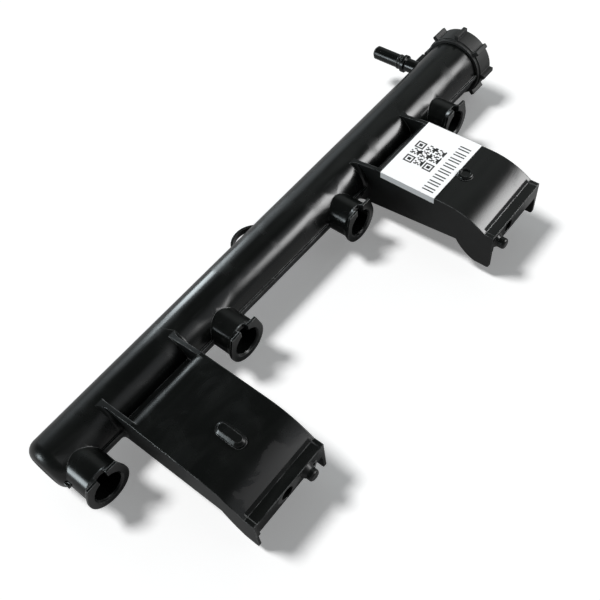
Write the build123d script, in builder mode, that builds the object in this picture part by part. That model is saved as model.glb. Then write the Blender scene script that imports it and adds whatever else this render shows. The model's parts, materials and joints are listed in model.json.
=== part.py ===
from build123d import *
import os
from math import asin, cos, radians, sin, sqrt

# Fuel rail for a four-cylinder engine: one black moulding, a welded end cap and a paper label.
# X runs along the tube from its closed end to its cap, +Z is up, lengths are in millimetres.
# The origin is on the first injector cup's axis, where the bore meets its lead-in. Cups open to -Y.

# Tube, a cone that grows towards the cap with the draft of its long core
cup_pitch = 88.0
cup_count = 4
tube_axis_y = 26.7
tube_radius = 13.15
tube_growth = 0.0082
tube_wall = 2.5
closed_end_overhang = 12.3
closed_end_round = 6.0
tube_past_last_cup = 40.0
spigot_length = 9.4

# Parting ridge along the side of the tube where the cups are
ridge_reach = 0.9
ridge_width = 2.0
ridge_rise = 0.4
ridge_inset = 1.4

# Injector cups
cup_outer_radius = 9.6
cup_bore_radius = 7.0
cup_bore_length = 12.2
cup_lead_in = 0.8
cup_passage_radius = 4.0
flange_radius = 10.85
flange_thickness = 1.3
flange_flat_width = 16.4
flange_flat_height = 10.4
flange_flare_length = 2.6
notch_width = 4.8
notch_depth = 3.2
notch_floor = 5.4

# Two bolt-down brackets, each centred between two cups. Pairs are for the near and far ear.
bracket_width = 44.0
bracket_reach = 63.2
bracket_top = 15.9
web_thickness = 2.1
plate_thickness = 2.2
plate_inner_y = 7.5
plate_inner_round = 6.6
plate_flat_end = 34.8
plate_bend_radius = 40.0
plate_end_bevel = 1.4
web_top_end = 3.7
gusset_tube_height = 12.9
trough_floor = 4.0
ledge_width = 5.0
ledge_step = 0.6
ledge_lip = 0.4
end_wall_height = 8.2
ear_drops = ((15.5, 12.7), (13.9, 12.3))
ear_setbacks = ((1.0, 0.0), (0.0, 0.0))
ear_thickness = 1.5
ear_length = 8.6
ear_corner = 1.6
ear_curve_length = 11.2
ear_curve_rise = 1.2
web_foot_depth = 12.2
web_end_drop = 2.5
root_round = 3.0
root_sink = 0.2

# Bolt hole and locating pin on each bracket's end wall, placed from the bracket's middle
bolt_hole_radius = 3.3
bolt_offsets = (-2.0, -7.0)
pin_root_radius = 3.8
pin_root_lengths = (2.0, 1.2)
pin_radius = 2.8
pin_length = 4.8
pin_tip_round = 1.2
pin_offsets = (10.3, -17.0)
pin_drops = (0.0, 1.2)

# Gusset between the first pin's root and its end wall, on the side away from the bolt hole
gusset_length = 6.6
gusset_tip_length = 2.3
gusset_thickness = 1.8
gusset_drop = 1.0

# Raised bosses on the plates, a long one on the first and a round one on the second
boss_before_bend = 1.5
long_boss_length = 15.0
long_boss_width = 6.4
long_boss_height = 2.6
long_boss_edge = 1.3
round_boss_radius = 3.9
round_boss_height = 1.4
round_boss_edge = 0.9
round_boss_dish_radius = 2.4
round_boss_dish_depth = 0.7

# Inlet stem for a quick connector, on the far side near the cap
stem_before_cap = 12.0
stem_radius = 3.95
stem_bore_radius = 2.7
stem_length = 46.6
stem_end_round = 1.2
bead_radius = 5.1
bead_width = 3.8
bead_distance = 25.3
bead_edge = 1.0
ring_radius = 4.35
ring_width = 0.8
ring_gap = 1.3
stem_web_reach = 20.8
stem_web_thickness = 2.4
stem_web_ramp = 5.0
stem_web_dip = 4.2

# Loop for a cable tie, on the far side just past the middle of the rail
loop_past_middle = 1.7
loop_radius = 11.7
loop_wall = 1.3
loop_height = 3.4
loop_reach = 20.2

# End cap
cap_lip_radius = 17.3
cap_lip_length = 1.8
cap_radius = 18.1
cap_length = 12.4
cap_clearance = 0.1
cap_end_round = 0.6
lug_count = 8
lug_radius = 20.6
lug_width = 2.6
lug_edge_round = 0.5
lug_inset = 1.6
lug_length = 9.6

# Label that folds over the near edge of the second bracket and reaches past the plate's flat top
label_thickness = 0.2
label_past_flat = 1.7
label_depth = 31.9
label_far_margin = 0.1
label_fold = 3.6

# Places that follow from the sizes above
cup_xs = [number * cup_pitch for number in range(cup_count)]
last_cup_x = cup_xs[-1]
bracket_middles = (cup_pitch / 2, last_cup_x - cup_pitch / 2)
mouth_y = -cup_lead_in
closed_end_x = -closed_end_overhang
ridge_start_x = closed_end_x + ridge_inset
cap_start_x = last_cup_x + tube_past_last_cup
tube_end_x = cap_start_x + spigot_length
stem_x = cap_start_x - stem_before_cap
loop_x = last_cup_x / 2 + loop_past_middle
loop_y = tube_axis_y + loop_reach - loop_radius
boss_y = -(plate_flat_end - boss_before_bend)
boss_foot_z = bracket_top - plate_thickness / 2
ledge_inner_y = -(bracket_reach - ledge_width)
bend_reach = -ledge_inner_y - plate_flat_end
bend_centre_z = bracket_top - plate_bend_radius
bend_end_z = bend_centre_z + sqrt(plate_bend_radius**2 - bend_reach**2)
ledge_z = bend_end_z - ledge_step
end_wall_foot = ledge_z - end_wall_height
web_end_z = end_wall_foot - web_end_drop
fastener_z = ledge_z - end_wall_height / 2
below_all = -2 * bracket_top
above_all = 2 * bracket_top


def tube_radius_at(x):
    return tube_radius + tube_growth * x


def bend_arc(radius, reach):
    """Three points of an arc about the bend's centre, from the flat part of the plate to a reach."""
    parts = (0, radius * sin(asin(reach / radius) / 2), reach)
    return [(-plate_flat_end - part, bend_centre_z + sqrt(radius**2 - part**2)) for part in parts]


def plate_inner_arc(radius):
    """Three points of an arc about the centre of the plate's rounded inner edge, from its top."""
    y = plate_inner_y - plate_inner_round
    z = bracket_top - plate_inner_round
    middle = radius * cos(radians(45))
    return [(y, z + radius), (y + middle, z + middle), (y + radius, z)]


def web_bottom_z(y):
    """Height of the webs' straight lower edge."""
    share = (tube_axis_y - y) / (tube_axis_y + bracket_reach)
    return -web_foot_depth + share * (web_foot_depth + web_end_z)


def add_bracket_block(near_x):
    """Full-width block with the side view of the webs."""
    lip_z = ledge_z + ledge_lip
    top_arc = bend_arc(plate_bend_radius, bend_reach)
    with BuildSketch(Plane.YZ.offset(near_x)) as side:
        with BuildLine():
            Polyline(
                (tube_axis_y, -web_foot_depth),
                (tube_axis_y, gusset_tube_height),
                (web_top_end, bracket_top),
                top_arc[0],
            )
            ThreePointArc(*top_arc)
            Polyline(
                top_arc[-1],
                (ledge_inner_y, lip_z),
                (-bracket_reach, lip_z),
                (-bracket_reach, web_end_z),
                (tube_axis_y, -web_foot_depth),
            )
        make_face()
    extrude(side.sketch, amount=bracket_width)


def add_ear(ear_x, bottom_z, setback):
    """Ear below the end of one web, with a curved back and rounded corners."""
    end_y = -bracket_reach + setback
    back_y = -bracket_reach + ear_length
    curve_start_y = back_y + ear_curve_length
    curve_start = (curve_start_y, web_bottom_z(curve_start_y))
    with BuildSketch(Plane.YZ.offset(ear_x)) as ear:
        with BuildLine():
            SagittaArc(curve_start, (back_y, bottom_z), ear_curve_rise)
            Polyline(
                (back_y, bottom_z),
                (end_y, bottom_z),
                (end_y, end_wall_foot),
                (curve_start_y, end_wall_foot),
                curve_start,
            )
        make_face()
        fillet(ear.vertices().sort_by(Axis.Y)[:2], ear_corner)
    extrude(ear.sketch, amount=ear_thickness)


def cut_bracket_channel(near_x):
    """The hollow under the plate and under the trough's floor."""
    roof = bend_arc(plate_bend_radius - plate_thickness, bend_reach)
    corner = plate_inner_arc(plate_inner_round - plate_thickness)
    floor_z = trough_floor - plate_thickness
    with BuildSketch(Plane.YZ.offset(near_x + web_thickness)) as hollow:
        with BuildLine():
            Polyline((tube_axis_y, floor_z), (tube_axis_y, below_all), (ledge_inner_y, below_all), roof[-1])
            ThreePointArc(*reversed(roof))
            Line(roof[0], corner[0])
            ThreePointArc(*corner)
            Polyline(corner[-1], (corner[-1][0], floor_z), (tube_axis_y, floor_z))
        make_face()
    extrude(hollow.sketch, amount=bracket_width - 2 * web_thickness, mode=Mode.SUBTRACT)


def cut_bracket_trough(near_x):
    """The trough between the tube and the plate, with the plate's rounded inner edge."""
    corner = plate_inner_arc(plate_inner_round)
    with BuildSketch(Plane.YZ.offset(near_x + web_thickness)) as trough:
        with BuildLine():
            ThreePointArc(*corner)
            Polyline(
                corner[-1],
                (plate_inner_y, trough_floor),
                (tube_axis_y, trough_floor),
                (tube_axis_y, above_all),
                (corner[0][0], above_all),
                corner[0],
            )
        make_face()
    extrude(trough.sketch, amount=bracket_width - 2 * web_thickness, mode=Mode.SUBTRACT)


def cut_bracket_end(near_x):
    """The bevel at the plate's end, the lowered ledge and the opening between the ears."""
    bevel_start = bend_arc(plate_bend_radius, bend_reach - plate_end_bevel)[-1]
    with BuildSketch(Plane.YZ.offset(near_x + web_thickness)) as end:
        with BuildLine():
            Polyline(
                bevel_start,
                (ledge_inner_y, ledge_z),
                (-bracket_reach, ledge_z),
                (-bracket_reach, above_all),
                (bevel_start[0], above_all),
                close=True,
            )
        make_face()
        with BuildLine():
            Polyline(
                (ledge_inner_y, end_wall_foot),
                (-bracket_reach, end_wall_foot),
                (-bracket_reach, below_all),
                (ledge_inner_y, below_all),
                close=True,
            )
        make_face()
    extrude(end.sketch, amount=bracket_width - 2 * web_thickness, mode=Mode.SUBTRACT)


def add_web_roots(near_x):
    """Rounded roots round the tube at the webs' outer faces, sunk a little so they cut into it."""
    for face_x, side in ((near_x, -1), (near_x + bracket_width, 1)):
        tube_y = tube_axis_y - tube_radius_at(face_x) + root_sink
        middle = root_round * (1 - cos(radians(45)))
        with BuildPart(mode=Mode.PRIVATE) as roots:
            with BuildSketch(Plane.XY) as corner:
                with BuildLine():
                    ThreePointArc(
                        (face_x, tube_y - root_round),
                        (face_x + side * middle, tube_y - middle),
                        (face_x + side * root_round, tube_y),
                    )
                    Polyline(
                        (face_x + side * root_round, tube_y),
                        (face_x + side * root_round, tube_y + tube_wall),
                        (face_x, tube_y + tube_wall),
                        (face_x, tube_y - root_round),
                    )
                make_face()
            revolve(corner.sketch, axis=Axis((0, tube_axis_y, 0), (1, 0, 0)))
            with BuildSketch(Plane.YZ.offset(face_x)) as beside_web:
                with BuildLine():
                    Polyline(
                        (tube_axis_y, -web_foot_depth),
                        (tube_axis_y, gusset_tube_height),
                        (web_top_end, bracket_top),
                        (web_top_end, web_bottom_z(web_top_end)),
                        close=True,
                    )
                make_face()
            extrude(beside_web.sketch, amount=root_round, both=True, mode=Mode.INTERSECT)
        add(roots.part)


def add_cup(x):
    """Barrel that flares into the mouth flange, which is round below and flat on top."""
    with BuildSketch(Plane.XY) as half_barrel:
        with BuildLine():
            Polyline(
                (x, mouth_y),
                (x + flange_radius, mouth_y),
                (x + flange_radius, mouth_y + flange_thickness),
                (x + cup_outer_radius, mouth_y + flange_thickness + flange_flare_length),
                (x + cup_outer_radius, tube_axis_y),
                (x, tube_axis_y),
                close=True,
            )
        make_face()
    revolve(half_barrel.sketch, axis=Axis((x, 0, 0), (0, 1, 0)))
    half_flat = flange_flat_width / 2
    with BuildSketch(Plane.XZ.offset(-mouth_y)) as flange:
        with BuildLine():
            CenterArc((x, 0), flange_radius, 0, 360)
            Line((x - half_flat, flange_flat_height), (x + half_flat, flange_flat_height))
        make_hull()
    extrude(flange.sketch, amount=-flange_thickness)


def cut_cup(x):
    """Injector bore with its lead-in, the passage into the tube and the key notch."""
    with BuildSketch(Plane.XY) as half_bore:
        with BuildLine():
            Polyline(
                (x, mouth_y),
                (x + cup_bore_radius + cup_lead_in, mouth_y),
                (x + cup_bore_radius, 0),
                (x + cup_bore_radius, cup_bore_length),
                (x + cup_passage_radius, cup_bore_length),
                (x + cup_passage_radius, tube_axis_y),
                (x, tube_axis_y),
                close=True,
            )
        make_face()
    revolve(half_bore.sketch, axis=Axis((x, 0, 0), (0, 1, 0)), mode=Mode.SUBTRACT)
    half_notch = notch_width / 2
    with BuildSketch(Plane.XZ.offset(-mouth_y)) as notch:
        with Locations((x, notch_floor + half_notch)):
            Circle(half_notch)
        with Locations((x, notch_floor + half_notch)):
            Rectangle(notch_width, flange_radius, align=(Align.CENTER, Align.MIN))
    extrude(notch.sketch, amount=-notch_depth, mode=Mode.SUBTRACT)


def add_stem():
    """Inlet stem with its ring and its bead, turned about an axis along +Y."""
    end_y = tube_axis_y + stem_length
    bead_y = tube_axis_y + bead_distance
    ring_y = bead_y + bead_width / 2 + ring_gap
    with BuildSketch(Plane.XY) as half_stem:
        with BuildLine():
            Polyline(
                (stem_x, tube_axis_y),
                (stem_x + stem_radius, tube_axis_y),
                (stem_x + stem_radius, bead_y - bead_width / 2),
                (stem_x + bead_radius, bead_y - bead_width / 2 + bead_edge),
                (stem_x + bead_radius, bead_y + bead_width / 2 - bead_edge),
                (stem_x + stem_radius, bead_y + bead_width / 2),
                (stem_x + stem_radius, ring_y),
                (stem_x + ring_radius, ring_y),
                (stem_x + ring_radius, ring_y + ring_width),
                (stem_x + stem_radius, ring_y + ring_width),
                (stem_x + stem_radius, end_y - stem_end_round),
                (stem_x + stem_radius - stem_end_round, end_y),
                (stem_x, end_y),
                close=True,
            )
        make_face()
    revolve(half_stem.sketch, axis=Axis((stem_x, 0, 0), (0, 1, 0)))
    with BuildSketch(Plane.XY.offset(-stem_web_thickness / 2)) as stem_web:
        with BuildLine():
            Polyline(
                (stem_x, tube_axis_y),
                (stem_x, tube_axis_y + stem_web_reach - stem_web_dip),
                (stem_x + stem_web_ramp, tube_axis_y + stem_web_reach),
                (cap_start_x, tube_axis_y + stem_web_reach),
                (cap_start_x, tube_axis_y),
                close=True,
            )
        make_face()
    extrude(stem_web.sketch, amount=stem_web_thickness)


def add_pin(x, z, root_length):
    """Locating pin with a conical root and a rounded tip, on the outside of an end wall."""
    tip_y = -(bracket_reach + pin_length)
    round_middle = pin_tip_round * (1 - cos(radians(45)))
    with BuildSketch(Plane.XY.offset(z)) as half_pin:
        with BuildLine():
            Polyline(
                (x + pin_radius - pin_tip_round, tip_y),
                (x, tip_y),
                (x, -bracket_reach),
                (x + pin_root_radius, -bracket_reach),
                (x + pin_radius, -bracket_reach - root_length),
                (x + pin_radius, tip_y + pin_tip_round),
            )
            ThreePointArc(
                (x + pin_radius, tip_y + pin_tip_round),
                (x + pin_radius - round_middle, tip_y + round_middle),
                (x + pin_radius - pin_tip_round, tip_y),
            )
        make_face()
    revolve(half_pin.sketch, axis=Axis((x, 0, z), (0, 1, 0)))


def add_pin_gusset(x, z, reach):
    """Triangular gusset from the side of a pin's root to its end wall."""
    with BuildSketch(Plane.XY.offset(z - gusset_drop - gusset_thickness)) as gusset:
        with BuildLine():
            Polyline(
                (x, -bracket_reach),
                (x + gusset_length, -bracket_reach),
                (x + gusset_tip_length, -bracket_reach - reach),
                (x, -bracket_reach - reach),
                close=True,
            )
        make_face()
    extrude(gusset.sketch, amount=gusset_thickness)


with BuildPart() as rail_body:
    for middle, drops, setbacks in zip(bracket_middles, ear_drops, ear_setbacks):
        near_edge = middle - bracket_width / 2
        add_bracket_block(near_edge)
        cut_bracket_channel(near_edge)
        cut_bracket_trough(near_edge)
        cut_bracket_end(near_edge)
        ear_xs = (near_edge, near_edge + bracket_width - ear_thickness)
        for ear_x, drop, setback in zip(ear_xs, drops, setbacks):
            add_ear(ear_x, end_wall_foot - drop, setback)
        add_web_roots(near_edge)

    # Tube and spigot, solid until everything that joins it is in place
    closed_radius = tube_radius_at(closed_end_x)
    spigot_radius = tube_radius_at(cap_start_x)
    with BuildSketch(Plane.XY):
        with BuildLine():
            Polyline(
                (closed_end_x, tube_axis_y),
                (closed_end_x, tube_axis_y + closed_radius),
                (cap_start_x, tube_axis_y + spigot_radius),
                (tube_end_x, tube_axis_y + spigot_radius),
                (tube_end_x, tube_axis_y),
                close=True,
            )
        make_face()
    revolve(axis=Axis((0, tube_axis_y, 0), (1, 0, 0)))
    fillet(rail_body.edges().filter_by(GeomType.CIRCLE).sort_by(Axis.X)[0], closed_end_round)

    # Parting ridge, a strip that follows the slope of the tube
    with BuildSketch(Plane.XY.offset(ridge_rise - ridge_width / 2)):
        with BuildLine():
            Polyline(
                (ridge_start_x, tube_axis_y),
                (ridge_start_x, tube_axis_y - tube_radius_at(ridge_start_x) - ridge_reach),
                (cap_start_x, tube_axis_y - spigot_radius - ridge_reach),
                (cap_start_x, tube_axis_y),
                close=True,
            )
        make_face()
    extrude(amount=ridge_width)

    for cup_x in cup_xs:
        add_cup(cup_x)

    # Cable-tie loop
    with BuildSketch(Plane.XY.offset(-loop_height / 2)):
        with Locations((loop_x, loop_y)):
            Circle(loop_radius)
            Circle(loop_radius - loop_wall, mode=Mode.SUBTRACT)
    extrude(amount=loop_height)

    add_stem()

    for middle, offset_x, drop, root in zip(bracket_middles, pin_offsets, pin_drops, pin_root_lengths):
        add_pin(middle + offset_x, fastener_z - drop, root)
    add_pin_gusset(bracket_middles[0] + pin_offsets[0], fastener_z, pin_root_lengths[0])

    # Bosses on the plates, rooted inside them because the bend begins under the bosses
    with BuildSketch(Plane.XY.offset(boss_foot_z)):
        with Locations((bracket_middles[0], boss_y)):
            SlotOverall(long_boss_length, long_boss_width, rotation=90)
    extrude(amount=bracket_top + long_boss_height - boss_foot_z)
    chamfer(rail_body.faces(Select.LAST).sort_by(Axis.Z)[-1].edges(), long_boss_edge)
    with BuildSketch(Plane.XY.offset(boss_foot_z)):
        with Locations((bracket_middles[1], boss_y)):
            Circle(round_boss_radius)
    extrude(amount=bracket_top + round_boss_height - boss_foot_z)
    fillet(rail_body.faces(Select.LAST).sort_by(Axis.Z)[-1].edges(), round_boss_edge)
    with BuildSketch(Plane.XY.offset(bracket_top + round_boss_height)):
        with Locations((bracket_middles[1], boss_y)):
            Circle(round_boss_dish_radius)
    extrude(amount=-round_boss_dish_depth, mode=Mode.SUBTRACT)

    # Fuel passage through the tube, open at the cap
    with BuildSketch(Plane.XY):
        with BuildLine():
            Polyline(
                (closed_end_x + tube_wall, tube_axis_y),
                (closed_end_x + tube_wall, tube_axis_y + closed_radius - tube_wall),
                (tube_end_x, tube_axis_y + tube_radius_at(tube_end_x) - tube_wall),
                (tube_end_x, tube_axis_y),
                close=True,
            )
        make_face()
    revolve(axis=Axis((0, tube_axis_y, 0), (1, 0, 0)), mode=Mode.SUBTRACT)

    for cup_x in cup_xs:
        cut_cup(cup_x)

    # Bore of the inlet stem
    with BuildSketch(Plane.XZ.offset(-(tube_axis_y + stem_length))):
        with Locations((stem_x, 0)):
            Circle(stem_bore_radius)
    extrude(amount=stem_length, mode=Mode.SUBTRACT)

    # Bolt holes through the end walls
    for middle, offset_x in zip(bracket_middles, bolt_offsets):
        with BuildSketch(Plane.XZ.offset(bracket_reach)):
            with Locations((middle + offset_x, fastener_z)):
                Circle(bolt_hole_radius)
        extrude(amount=-ledge_width, mode=Mode.SUBTRACT)

rail_body.part.label = "rail_body"

cap_end_x = cap_start_x + cap_length
cap_seat_x = tube_end_x + cap_clearance
cap_inner_radius = spigot_radius + cap_clearance
with BuildPart() as end_cap:
    with BuildSketch(Plane.XY):
        with BuildLine():
            Polyline(
                (cap_start_x, tube_axis_y + cap_inner_radius),
                (cap_start_x, tube_axis_y + cap_lip_radius),
                (cap_start_x + cap_lip_length, tube_axis_y + cap_lip_radius),
                (cap_start_x + cap_lip_length, tube_axis_y + cap_radius),
                (cap_end_x - cap_end_round, tube_axis_y + cap_radius),
                (cap_end_x, tube_axis_y + cap_radius - cap_end_round),
                (cap_end_x, tube_axis_y),
                (cap_seat_x, tube_axis_y),
                (cap_seat_x, tube_axis_y + cap_inner_radius),
                close=True,
            )
        make_face()
    revolve(axis=Axis((0, tube_axis_y, 0), (1, 0, 0)))

    # Drive lugs
    lug_plane = Plane(
        origin=(cap_start_x + lug_inset, tube_axis_y, 0),
        x_dir=(0, -1, 0),
        z_dir=(-1, 0, 0),
    )
    lug_middle = (cap_inner_radius + lug_radius) / 2 + cap_clearance
    with BuildSketch(lug_plane):
        with PolarLocations(lug_middle, lug_count):
            RectangleRounded(2 * (lug_radius - lug_middle), lug_width, lug_edge_round)
    extrude(amount=-lug_length)

end_cap.part.label = "end_cap"

label_near_x = bracket_middles[1] - bracket_width / 2
label_width = bracket_width - label_far_margin
label_inner_y = plate_inner_y - plate_inner_round + label_past_flat
with BuildPart() as label:
    with BuildSketch(Plane.XZ.offset(-label_inner_y)):
        with BuildLine():
            Polyline(
                (label_near_x, bracket_top),
                (label_near_x + label_width, bracket_top),
                (label_near_x + label_width, bracket_top + label_thickness),
                (label_near_x - label_thickness, bracket_top + label_thickness),
                (label_near_x - label_thickness, bracket_top - label_fold),
                (label_near_x, bracket_top - label_fold),
                close=True,
            )
        make_face()
    extrude(amount=label_depth)

label.part.label = "label"

os.makedirs("parts", exist_ok=True)
export_step(rail_body.part, "parts/rail_body.step")
export_step(end_cap.part, "parts/end_cap.step")
export_step(label.part, "parts/label.step")
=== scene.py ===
import json
import math
import bpy
import bmesh
from mathutils import Matrix, Vector

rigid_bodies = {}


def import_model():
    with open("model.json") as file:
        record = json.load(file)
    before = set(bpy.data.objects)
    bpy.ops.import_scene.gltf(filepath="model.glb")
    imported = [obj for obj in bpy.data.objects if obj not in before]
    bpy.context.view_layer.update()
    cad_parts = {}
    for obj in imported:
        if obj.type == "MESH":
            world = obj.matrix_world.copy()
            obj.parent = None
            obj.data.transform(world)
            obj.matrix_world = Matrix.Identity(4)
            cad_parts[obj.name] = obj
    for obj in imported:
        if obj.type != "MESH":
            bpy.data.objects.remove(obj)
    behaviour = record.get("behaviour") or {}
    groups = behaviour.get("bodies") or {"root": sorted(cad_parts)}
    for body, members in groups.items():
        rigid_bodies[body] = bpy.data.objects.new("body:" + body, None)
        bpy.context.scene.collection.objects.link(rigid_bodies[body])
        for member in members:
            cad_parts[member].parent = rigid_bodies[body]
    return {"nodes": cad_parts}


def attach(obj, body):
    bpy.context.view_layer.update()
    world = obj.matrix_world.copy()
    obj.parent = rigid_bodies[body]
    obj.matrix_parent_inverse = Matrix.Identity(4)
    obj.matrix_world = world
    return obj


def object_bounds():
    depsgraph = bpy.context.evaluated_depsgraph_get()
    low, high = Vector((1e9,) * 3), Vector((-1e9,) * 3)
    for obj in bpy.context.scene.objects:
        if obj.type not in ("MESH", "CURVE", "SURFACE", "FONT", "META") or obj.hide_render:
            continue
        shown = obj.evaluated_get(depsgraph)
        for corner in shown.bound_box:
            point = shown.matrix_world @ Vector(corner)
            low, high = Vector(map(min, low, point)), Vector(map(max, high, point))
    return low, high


# Dresses the fuel rail: moulded plastic, a paper label with a plain print, a pale floor,
# soft lamps and the photograph's camera. Lengths are in metres, in the part's own frame.

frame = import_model()
cad_low, cad_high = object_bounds()
nodes = frame["nodes"]
scene = bpy.context.scene
MM = 0.001
WHITE = (1, 1, 1, 1)

# In these constants, a noise is a scale in waves per metre, a detail and a distortion, limits
# are where a smooth step starts and ends, and directions are degrees round from +X and up.

# Camera, at the photograph's viewing angle. Its lens and sensor are in millimetres.
CAMERA_PLACE = Vector((-0.0280, -0.1602, 0.2984))
CAMERA_TARGET = Vector((0.12055, -0.00565, 0.0))
CAMERA_ROLL = math.radians(-8.755)
CAMERA_LENS = 46.2
CAMERA_SENSOR = 36
CAMERA_NEAR = 0.01

# The label's top face on the second bracket, and its print
LABEL_TOP = 16.1 * MM
PRINT_RISE = 0.02 * MM
MARKER_SIZE = 5.0 * MM
MARKER_LINE = 0.8 * MM
MARKER_CORE = 1.9 * MM
MARKER_CENTRES = ((225.2 * MM, -3.5 * MM), (213.9 * MM, -3.9 * MM), (213.9 * MM, -15.3 * MM))
FIELD_LOW = Vector((211.4 * MM, -17.8 * MM))
FIELD_CELL = 0.82 * MM
FIELD_CELLS = 20
BARS_START = 200.3 * MM
BARS_STEP = 4.7 * MM
BARS_PAIRS = 8
BARS_WIDTH = 0.75 * MM
BARS_OFFSET = 1.9 * MM  # from the first bar of a pair to the second
BARS_NEAR_Y = -27.0 * MM
BARS_FAR_Y = -20.6 * MM

# Plastic: flow marks, grain, rubbed patches in clouds, scratches, and pale edges with gaps,
# which are partly wear and partly a painted highlight.
# An edge is where 1 less the cosine between the face's normal and the bevel's is in its
# limits, and a side is a face whose normal's X part is, towards -X or +X.
FLOW_STRETCH = (0.25, 1.0, 1.0)
FLOW_NOISE = (90, 4, 1.2)
FLOW_LIMITS = (0.35, 0.75)
FLOW_HEIGHT = 0.10 * MM
GRAIN_NOISE = (2600, 2, 0.0)
GRAIN_HEIGHT = 0.012 * MM
PLASTIC_BUMP = 0.5
CLOUD_NOISE = (55, 5, 0.6)
RUBBED_LIMITS = (0.46, 0.68)
SCRATCH_STRETCH = (0.12, 1.0, 1.0)
SCRATCH_NOISE = (1400, 2, 2.5)
SCRATCH_LIMITS = (0.66, 0.74)
SCRATCH_SHARE = 0.5
EDGE_SAMPLES = 6
EDGE_LIMITS = (0.015, 0.10)
EDGE_NOISE = (130, 3, 0.0)
EDGE_GAP_LIMITS = (0.34, 0.62)
# Colour of pale edges: partly wear, partly a painted highlight on rounded edges.
EDGE_PALE_AND_HIGHLIGHT = (0.13, 0.135, 0.135, 1)
SIDE_LIMITS = (0.97, 0.995)
PLASTIC_IOR = 1.5

# Marks on the first bracket, ellipsoids with a cloudy rim: on the bend a painted reflection,
# paler and rougher, and round the bolt hole rubbed wear. Each shows only on faces
# whose normal has a Y part within slope_range of slope.
MARK_RAGGED = 2.0
MARK_LIMITS = (1.0, 0.75)
# A painted reflection: a paler, rougher cloud on the bend, where light is mirrored.
BEND_SHEEN_PATCH = {
    "centre": (47 * MM, -60 * MM, 10 * MM), "radii": (27 * MM, 13 * MM, 16 * MM),
    "slope": 0.38, "slope_range": 0.24, "pale": 0.006, "rough": 0.40,
}
BOLT_HOLE_RUB = {
    "centre": (43 * MM, -63.2 * MM, 4.5 * MM), "radii": (8 * MM, 1.5 * MM, 5 * MM),
    "slope": 1.0, "slope_range": 0.05, "pale": 0.045, "rough": 0.50,
}

# Each piece's plastic. smooth, worn and side_worn are roughnesses, as rough is in a mark.
RAIL_PLASTIC = {
    "dark": (0.0024, 0.0028, 0.0026), "light": (0.0048, 0.0053, 0.0050),
    "smooth": 0.20, "worn": 0.34, "side_worn": 0.55,
    "edge_radius": 0.6 * MM, "marks": (BEND_SHEEN_PATCH, BOLT_HOLE_RUB),
}
CAP_PLASTIC = {
    "dark": (0.017, 0.0175, 0.017), "light": (0.026, 0.0265, 0.026),
    "smooth": 0.56, "worn": 0.68, "side_worn": 0.60,
    "edge_radius": 0.4 * MM, "marks": (),
}

# Paper and ink
PAPER_DARK = (0.78, 0.79, 0.80, 1)
PAPER_LIGHT = (0.84, 0.84, 0.84, 1)
PAPER_NOISE = (70, 3, 0.0)
PAPER_ROUGHNESS = (0.42, 0.62)
FIBRE_STRETCH = (1.0, 0.4, 1.0)
FIBRE_NOISE = (2400, 4, 0.0)
FIBRE_HEIGHT = 0.02 * MM
FIBRE_BUMP = 0.5
CREASE_STRETCH = (3.0, 0.6, 1.0)
CREASE_NOISE = (60, 2, 0.0)
CREASE_HEIGHT = 0.3 * MM
CREASE_BUMP = 0.35
INK_DARK = (0.012, 0.012, 0.012, 1)
INK_LIGHT = (0.05, 0.05, 0.05, 1)
INK_NOISE = (3000, 3, 0.0)
INK_LIMITS = (0.55, 0.8)
INK_ROUGHNESS = (0.35, 0.6)

# Floor. The shares are how much of the white floor and the white sky the plastic mirrors.
FLOOR_CENTRE = (0.15, 0)
FLOOR_SIZE = 6
FLOOR_GAP = 0.2 * MM
FLOOR_GREY = (0.30, 0.30, 0.30, 1)
FLOOR_ROUGHNESS = 0.9
FLOOR_GLOW = 0.235
GLOSS_SHARE = 0.15
SKY_GLOSS_SHARE = 0.01

# World above the floor. A glow is a direction, the degrees from it to the glow's rim and to
# its full strength, and a colour.
HORIZON_LIMITS = (0.0, 0.35)
WORLD_LOW = (0.28, 0.29, 0.30, 1)
WORLD_HIGH = (0.034, 0.038, 0.037, 1)
GLOWS = (
    (15, 38, 31, 10, (0.29, 0.31, 0.305, 1)),
    (68, 22, 26, 6, (0.80, 0.88, 0.92, 1)),
    (-62, 45, 26, 8, (0.44, 0.46, 0.48, 1)),
)

# Key lamp, and the soft lamps that light the part alone. The share is of a lamp's half width,
# from its middle, at full strength.
KEY_DIRECTION = (116, 62.5)
KEY_STRENGTH = 2.4
KEY_ANGLE = math.radians(15)
LAMPS_AIM = Vector((0.15, -0.01, 0.0))
NEUTRAL = (1, 1, 1)
COOL = (0.86, 0.96, 1.0)
LAMPS = (
    {"name": "side_softbox", "direction": (-46, 31.5), "distance": 1.0, "size": (0.82, 0.58),
     "radiance": 12.5, "share": 0.25, "colour": NEUTRAL},
    {"name": "back_window", "direction": (74, 17), "distance": 1.2, "size": (0.19, 0.60),
     "radiance": 11.5, "share": 0.6, "colour": COOL},
    {"name": "low_strip", "direction": (150, 12), "distance": 1.2, "size": (0.36, 0.56),
     "radiance": 12.0, "share": 0.4, "colour": COOL},
)


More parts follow.
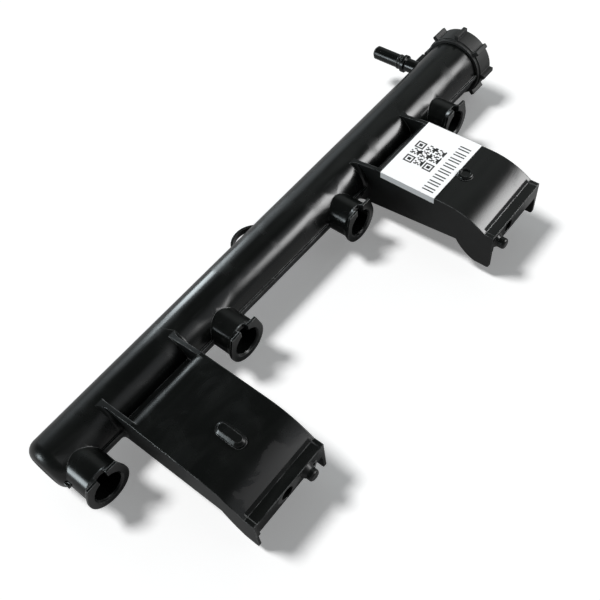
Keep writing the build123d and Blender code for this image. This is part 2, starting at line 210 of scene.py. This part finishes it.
class Nodes:
    """Short calls that add and join shader nodes in one material, lamp or world."""

    def __init__(self, tree):
        self.tree = tree

    def add(self, kind, **settings):
        node = self.tree.nodes.new(kind)
        for name, value in settings.items():
            setattr(node, name, value)
        return node

    def put(self, value, socket):
        if isinstance(value, bpy.types.NodeSocket):
            self.tree.links.new(value, socket)
        else:
            socket.default_value = value

    def object_place(self):
        return self.add("ShaderNodeTexCoord").outputs["Object"]

    def math(self, operation, *values):
        node = self.add("ShaderNodeMath", operation=operation)
        for value, socket in zip(values, node.inputs):
            self.put(value, socket)
        return node.outputs[0]

    def vector_math(self, operation, *values):
        node = self.add("ShaderNodeVectorMath", operation=operation)
        for value, socket in zip(values, node.inputs):
            self.put(value, socket)
        return node.outputs["Value" if operation in ("DOT_PRODUCT", "LENGTH") else "Vector"]

    def split(self, vector):
        node = self.add("ShaderNodeSeparateXYZ")
        self.put(vector, node.inputs[0])
        return node.outputs

    def ramp(self, value, low, high):
        """Smooth step from 0 at low to 1 at high."""
        node = self.add("ShaderNodeMapRange", interpolation_type="SMOOTHSTEP")
        self.put(value, node.inputs["Value"])
        node.inputs["From Min"].default_value = low
        node.inputs["From Max"].default_value = high
        return node.outputs[0]

    def span(self, value, low, high):
        """A 0 to 1 value spread from low to high."""
        node = self.add("ShaderNodeMapRange")
        self.put(value, node.inputs["Value"])
        node.inputs["To Min"].default_value = low
        node.inputs["To Max"].default_value = high
        return node.outputs[0]

    def stretch(self, vector, scale):
        node = self.add("ShaderNodeMapping")
        self.put(vector, node.inputs["Vector"])
        node.inputs["Scale"].default_value = scale
        return node.outputs[0]

    def noise(self, vector, scale, detail, distortion):
        node = self.add("ShaderNodeTexNoise")
        self.put(vector, node.inputs["Vector"])
        node.inputs["Scale"].default_value = scale
        node.inputs["Detail"].default_value = detail
        node.inputs["Distortion"].default_value = distortion
        return node.outputs["Fac"]

    def mix(self, factor, first, second):
        """A mix of two colours, by the sockets that the node has for colours."""
        node = self.add("ShaderNodeMix", data_type="RGBA")
        self.put(factor, node.inputs[0])
        self.put(first, node.inputs[6])
        self.put(second, node.inputs[7])
        return node.outputs[2]

    def bump(self, height, distance, strength, normal=None):
        node = self.add("ShaderNodeBump")
        self.put(height, node.inputs["Height"])
        node.inputs["Distance"].default_value = distance
        node.inputs["Strength"].default_value = strength
        if normal is not None:
            self.put(normal, node.inputs["Normal"])
        return node.outputs[0]

    def seen(self, gloss_share):
        """1 to the eye, also through glass, gloss_share in a mirrored ray and 0 otherwise."""
        path = self.add("ShaderNodeLightPath").outputs
        direct = self.math("MAXIMUM", path["Is Camera Ray"], path["Is Transmission Ray"])
        mirrored = self.math("MULTIPLY", path["Is Glossy Ray"], gloss_share)
        return self.math("MAXIMUM", direct, mirrored)


def new_material(name):
    material = bpy.data.materials.new(name)
    material.use_nodes = True
    tree = material.node_tree
    return material, Nodes(tree), tree.nodes["Principled BSDF"]


def mark_strength(n, mark, place, clouds, tilt):
    """0 to 1: how strongly a mark (painted reflection or rubbed wear) shows at a place, on a face
    tilted so far to Y.
    """
    offset = n.vector_math("SUBTRACT", place, mark["centre"])
    reach = n.vector_math("LENGTH", n.stretch(offset, [1 / radius for radius in mark["radii"]]))
    ragged = n.math("MULTIPLY", n.math("SUBTRACT", clouds, 0.5), MARK_RAGGED)
    inside = n.ramp(n.math("ADD", reach, ragged), *MARK_LIMITS)
    return n.math("MULTIPLY", inside, n.math("COMPARE", tilt, mark["slope"], mark["slope_range"]))


def make_plastic(name, dark, light, smooth, worn, side_worn, edge_radius, marks):
    """Moulded plastic: flow marks, grain, rubbed patches, scratches, pale edges (worn, and a
    painted highlight), matt sides.
    """
    material, n, shader = new_material(name)
    place = n.object_place()
    flow = n.noise(n.stretch(place, FLOW_STRETCH), *FLOW_NOISE)
    clouds = n.noise(place, *CLOUD_NOISE)
    grain = n.noise(place, *GRAIN_NOISE)
    fine_lines = n.noise(n.stretch(place, SCRATCH_STRETCH), *SCRATCH_NOISE)
    normal = n.add("ShaderNodeNewGeometry").outputs["True Normal"]
    facing = n.split(normal)
    edge = n.add("ShaderNodeBevel", samples=EDGE_SAMPLES)
    edge.inputs["Radius"].default_value = edge_radius
    rounded = edge.outputs[0]

    turned = n.math("SUBTRACT", 1.0, n.vector_math("DOT_PRODUCT", normal, rounded))
    gaps = n.ramp(n.noise(place, *EDGE_NOISE), *EDGE_GAP_LIMITS)
    worn_and_highlit_edge = n.math("MULTIPLY", n.ramp(turned, *EDGE_LIMITS), gaps)
    colour = n.mix(n.ramp(flow, *FLOW_LIMITS), (*dark, 1), (*light, 1))
    # Edges are paled: partly real wear, partly a painted highlight of light along them.
    colour = n.mix(worn_and_highlit_edge, colour, EDGE_PALE_AND_HIGHLIGHT)

    scratches = n.math("MULTIPLY", n.ramp(fine_lines, *SCRATCH_LIMITS), SCRATCH_SHARE)
    wear = n.math("MAXIMUM", n.ramp(clouds, *RUBBED_LIMITS), scratches)
    side = n.ramp(n.math("ABSOLUTE", facing["X"]), *SIDE_LIMITS)
    matt = n.math("MULTIPLY", side, side_worn)
    roughness = n.math("MAXIMUM", n.span(wear, smooth, worn), matt)

    tilt = n.math("ABSOLUTE", facing["Y"])
    for mark in marks:
        marked = mark_strength(n, mark, place, clouds, tilt)
        # A mark's pale colour is a painted reflection on the bend, and rubbed wear round the bolt
        # hole.
        pale = mark["pale"]
        colour = n.mix(marked, colour, (pale, pale, pale, 1))
        roughness = n.math("MAXIMUM", roughness, n.math("MULTIPLY", marked, mark["rough"]))
    n.put(colour, shader.inputs["Base Color"])
    n.put(roughness, shader.inputs["Roughness"])
    waves = n.bump(flow, FLOW_HEIGHT, PLASTIC_BUMP, rounded)
    n.put(n.bump(grain, GRAIN_HEIGHT, PLASTIC_BUMP, waves), shader.inputs["Normal"])
    shader.inputs["IOR"].default_value = PLASTIC_IOR
    return material


def make_paper(name):
    material, n, shader = new_material(name)
    place = n.object_place()
    fibre = n.noise(n.stretch(place, FIBRE_STRETCH), *FIBRE_NOISE)
    soft = n.noise(place, *PAPER_NOISE)
    folds = n.noise(n.stretch(place, CREASE_STRETCH), *CREASE_NOISE)
    n.put(n.mix(soft, PAPER_DARK, PAPER_LIGHT), shader.inputs["Base Color"])
    n.put(n.span(fibre, *PAPER_ROUGHNESS), shader.inputs["Roughness"])
    creases = n.bump(folds, CREASE_HEIGHT, CREASE_BUMP)
    n.put(n.bump(fibre, FIBRE_HEIGHT, FIBRE_BUMP, creases), shader.inputs["Normal"])
    return material


def make_ink(name):
    material, n, shader = new_material(name)
    speck = n.noise(n.object_place(), *INK_NOISE)
    n.put(n.mix(n.ramp(speck, *INK_LIMITS), INK_DARK, INK_LIGHT), shader.inputs["Base Color"])
    n.put(n.span(speck, *INK_ROUGHNESS), shader.inputs["Roughness"])
    return material


def dress(node, material):
    for slot in nodes[node].material_slots:
        slot.material = material


def make_camera():
    data = bpy.data.cameras.new("camera")
    data.lens = CAMERA_LENS
    data.sensor_width = CAMERA_SENSOR
    data.clip_start = CAMERA_NEAR
    camera = bpy.data.objects.new("camera", data)
    scene.collection.objects.link(camera)
    look = (CAMERA_TARGET - CAMERA_PLACE).to_track_quat("-Z", "Y").to_matrix().to_4x4()
    roll = Matrix.Rotation(CAMERA_ROLL, 4, "Z")
    camera.matrix_world = Matrix.Translation(CAMERA_PLACE) @ look @ roll
    scene.camera = camera


def add_rectangle(mesh, low_x, low_y, high_x, high_y, z):
    corners = ((low_x, low_y), (high_x, low_y), (high_x, high_y), (low_x, high_y))
    mesh.faces.new([mesh.verts.new((x, y, z)) for x, y in corners])


def add_square(mesh, x, y, size, z):
    half = size / 2
    add_rectangle(mesh, x - half, y - half, x + half, y + half, z)


def add_square_ring(mesh, x, y, size, line, z):
    half = size / 2
    add_rectangle(mesh, x - half, y - half, x + half, y - half + line, z)
    add_rectangle(mesh, x - half, y + half - line, x + half, y + half, z)
    add_rectangle(mesh, x - half, y - half + line, x - half + line, y + half - line, z)
    add_rectangle(mesh, x + half - line, y - half + line, x + half, y + half - line, z)


def in_field(column, row):
    """Whether a cell is inked: a short formula, which encodes nothing."""
    return (column * column + 3 * row * row + column * row) % 7 in (1, 2, 4)


def near_marker(x, y):
    reach = MARKER_SIZE / 2 + FIELD_CELL
    return any(abs(x - cx) < reach and abs(y - cy) < reach for cx, cy in MARKER_CENTRES)


def make_print(ink):
    """Plain print: three square markers, a field of small cells and pairs of bars."""
    z = LABEL_TOP + PRINT_RISE
    mesh = bmesh.new()
    for x, y in MARKER_CENTRES:
        add_square_ring(mesh, x, y, MARKER_SIZE, MARKER_LINE, z)
        add_square(mesh, x, y, MARKER_CORE, z)
    for column in range(FIELD_CELLS):
        for row in range(FIELD_CELLS):
            x = FIELD_LOW.x + (column + 0.5) * FIELD_CELL
            y = FIELD_LOW.y + (row + 0.5) * FIELD_CELL
            if in_field(column, row) and not near_marker(x, y):
                add_square(mesh, x, y, FIELD_CELL, z)
    for pair in range(BARS_PAIRS):
        start = BARS_START + pair * BARS_STEP
        for x in (start, start + BARS_OFFSET):
            add_rectangle(mesh, x, BARS_NEAR_Y, x + BARS_WIDTH, BARS_FAR_Y, z)
    data = bpy.data.meshes.new("label_print")
    mesh.to_mesh(data)
    mesh.free()
    piece = bpy.data.objects.new("label_print", data)
    scene.collection.objects.link(piece)
    data.materials.append(ink)
    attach(piece, "root")


def collect_part():
    """All the part's meshes, as the receivers of the lamps that leave the floor alone."""
    part_only = bpy.data.collections.new("part_only")
    for piece in scene.objects:
        if piece.type == "MESH":
            part_only.objects.link(piece)
    return part_only


def make_floor():
    """Pale floor with the key lamp's shadow. The black plastic mirrors it as a greyer table."""
    location = (*FLOOR_CENTRE, cad_low.z - FLOOR_GAP)
    bpy.ops.mesh.primitive_plane_add(size=FLOOR_SIZE, location=location)
    floor = bpy.context.object
    floor.name = "floor"
    material, n, shader = new_material("floor_white")
    shader.inputs["Roughness"].default_value = FLOOR_ROUGHNESS
    shader.inputs["Specular IOR Level"].default_value = 0.0
    seen = n.seen(GLOSS_SHARE)
    n.put(n.mix(seen, FLOOR_GREY, WHITE), shader.inputs["Base Color"])
    shader.inputs["Emission Color"].default_value = WHITE
    n.put(n.math("MULTIPLY", seen, FLOOR_GLOW), shader.inputs["Emission Strength"])
    floor.data.materials.append(material)


def heading(azimuth, elevation):
    """Unit vector in the part's frame, from degrees round from +X and up from the floor."""
    azimuth, elevation = math.radians(azimuth), math.radians(elevation)
    flat = math.cos(elevation)
    return Vector((flat * math.cos(azimuth), flat * math.sin(azimuth), math.sin(elevation)))


def aim(lamp, towards):
    """Turn a lamp so that it shines from a direction."""
    lamp.rotation_mode = "QUATERNION"
    lamp.rotation_quaternion = (-towards).to_track_quat("-Z", "Y")


def soften(data, share):
    """Fade a lamp to nothing at its rim, from full strength inside a share of its half width."""
    data.use_nodes = True
    n = Nodes(data.node_tree)
    place = n.split(n.add("ShaderNodeNewGeometry").outputs["Parametric"])
    fades = []
    for axis in "XY":
        across = n.math("ABSOLUTE", n.math("SUBTRACT", place[axis], 0.5))
        fades.append(n.ramp(across, 0.5, share / 2))
    n.put(n.math("MULTIPLY", *fades), data.node_tree.nodes["Emission"].inputs["Strength"])


def make_lamp(receivers, name, direction, distance, size, radiance, share, colour):
    """Rectangular lamp seen from the part in a direction, with a given surface brightness."""
    data = bpy.data.lights.new(name, "AREA")
    data.shape = "RECTANGLE"
    data.size, data.size_y = size
    data.energy = radiance * math.pi * size[0] * size[1]
    data.color = colour
    lamp = bpy.data.objects.new(name, data)
    scene.collection.objects.link(lamp)
    towards = heading(*direction)
    lamp.location = LAMPS_AIM + distance * towards
    aim(lamp, towards)
    lamp.visible_camera = False
    lamp.light_linking.receiver_collection = receivers
    soften(data, share)


def make_key():
    """Distant key light from behind, for part and floor alike, which gives the soft shadow."""
    data = bpy.data.lights.new("key", "SUN")
    data.energy = KEY_STRENGTH
    data.angle = KEY_ANGLE
    key = bpy.data.objects.new("key", data)
    scene.collection.objects.link(key)
    aim(key, heading(*KEY_DIRECTION))
    key.visible_glossy = False


def make_world():
    """Dark studio above with a few glows, paler towards the horizon and white to the eye."""
    world = bpy.data.worlds.new("studio")
    scene.world = world
    world.use_nodes = True
    n = Nodes(world.node_tree)
    direction = n.add("ShaderNodeTexCoord").outputs["Generated"]
    height = n.ramp(n.split(direction)["Z"], *HORIZON_LIMITS)
    studio = n.mix(height, WORLD_LOW, WORLD_HIGH)
    for azimuth, elevation, rim, full, colour in GLOWS:
        towards = n.vector_math("DOT_PRODUCT", direction, heading(azimuth, elevation))
        near = n.ramp(towards, math.cos(math.radians(rim)), math.cos(math.radians(full)))
        studio = n.mix(near, studio, colour)
    background = world.node_tree.nodes["Background"]
    n.put(n.mix(n.seen(SKY_GLOSS_SHARE), studio, WHITE), background.inputs["Color"])


make_camera()
dress("rail_body", make_plastic("rail_black", **RAIL_PLASTIC))
dress("end_cap", make_plastic("cap_black", **CAP_PLASTIC))
dress("label", make_paper("paper"))
make_print(make_ink("ink"))
part_only = collect_part()
make_floor()
for lamp in LAMPS:
    make_lamp(part_only, **lamp)
make_key()
make_world()
scene.view_settings.view_transform = "Standard"
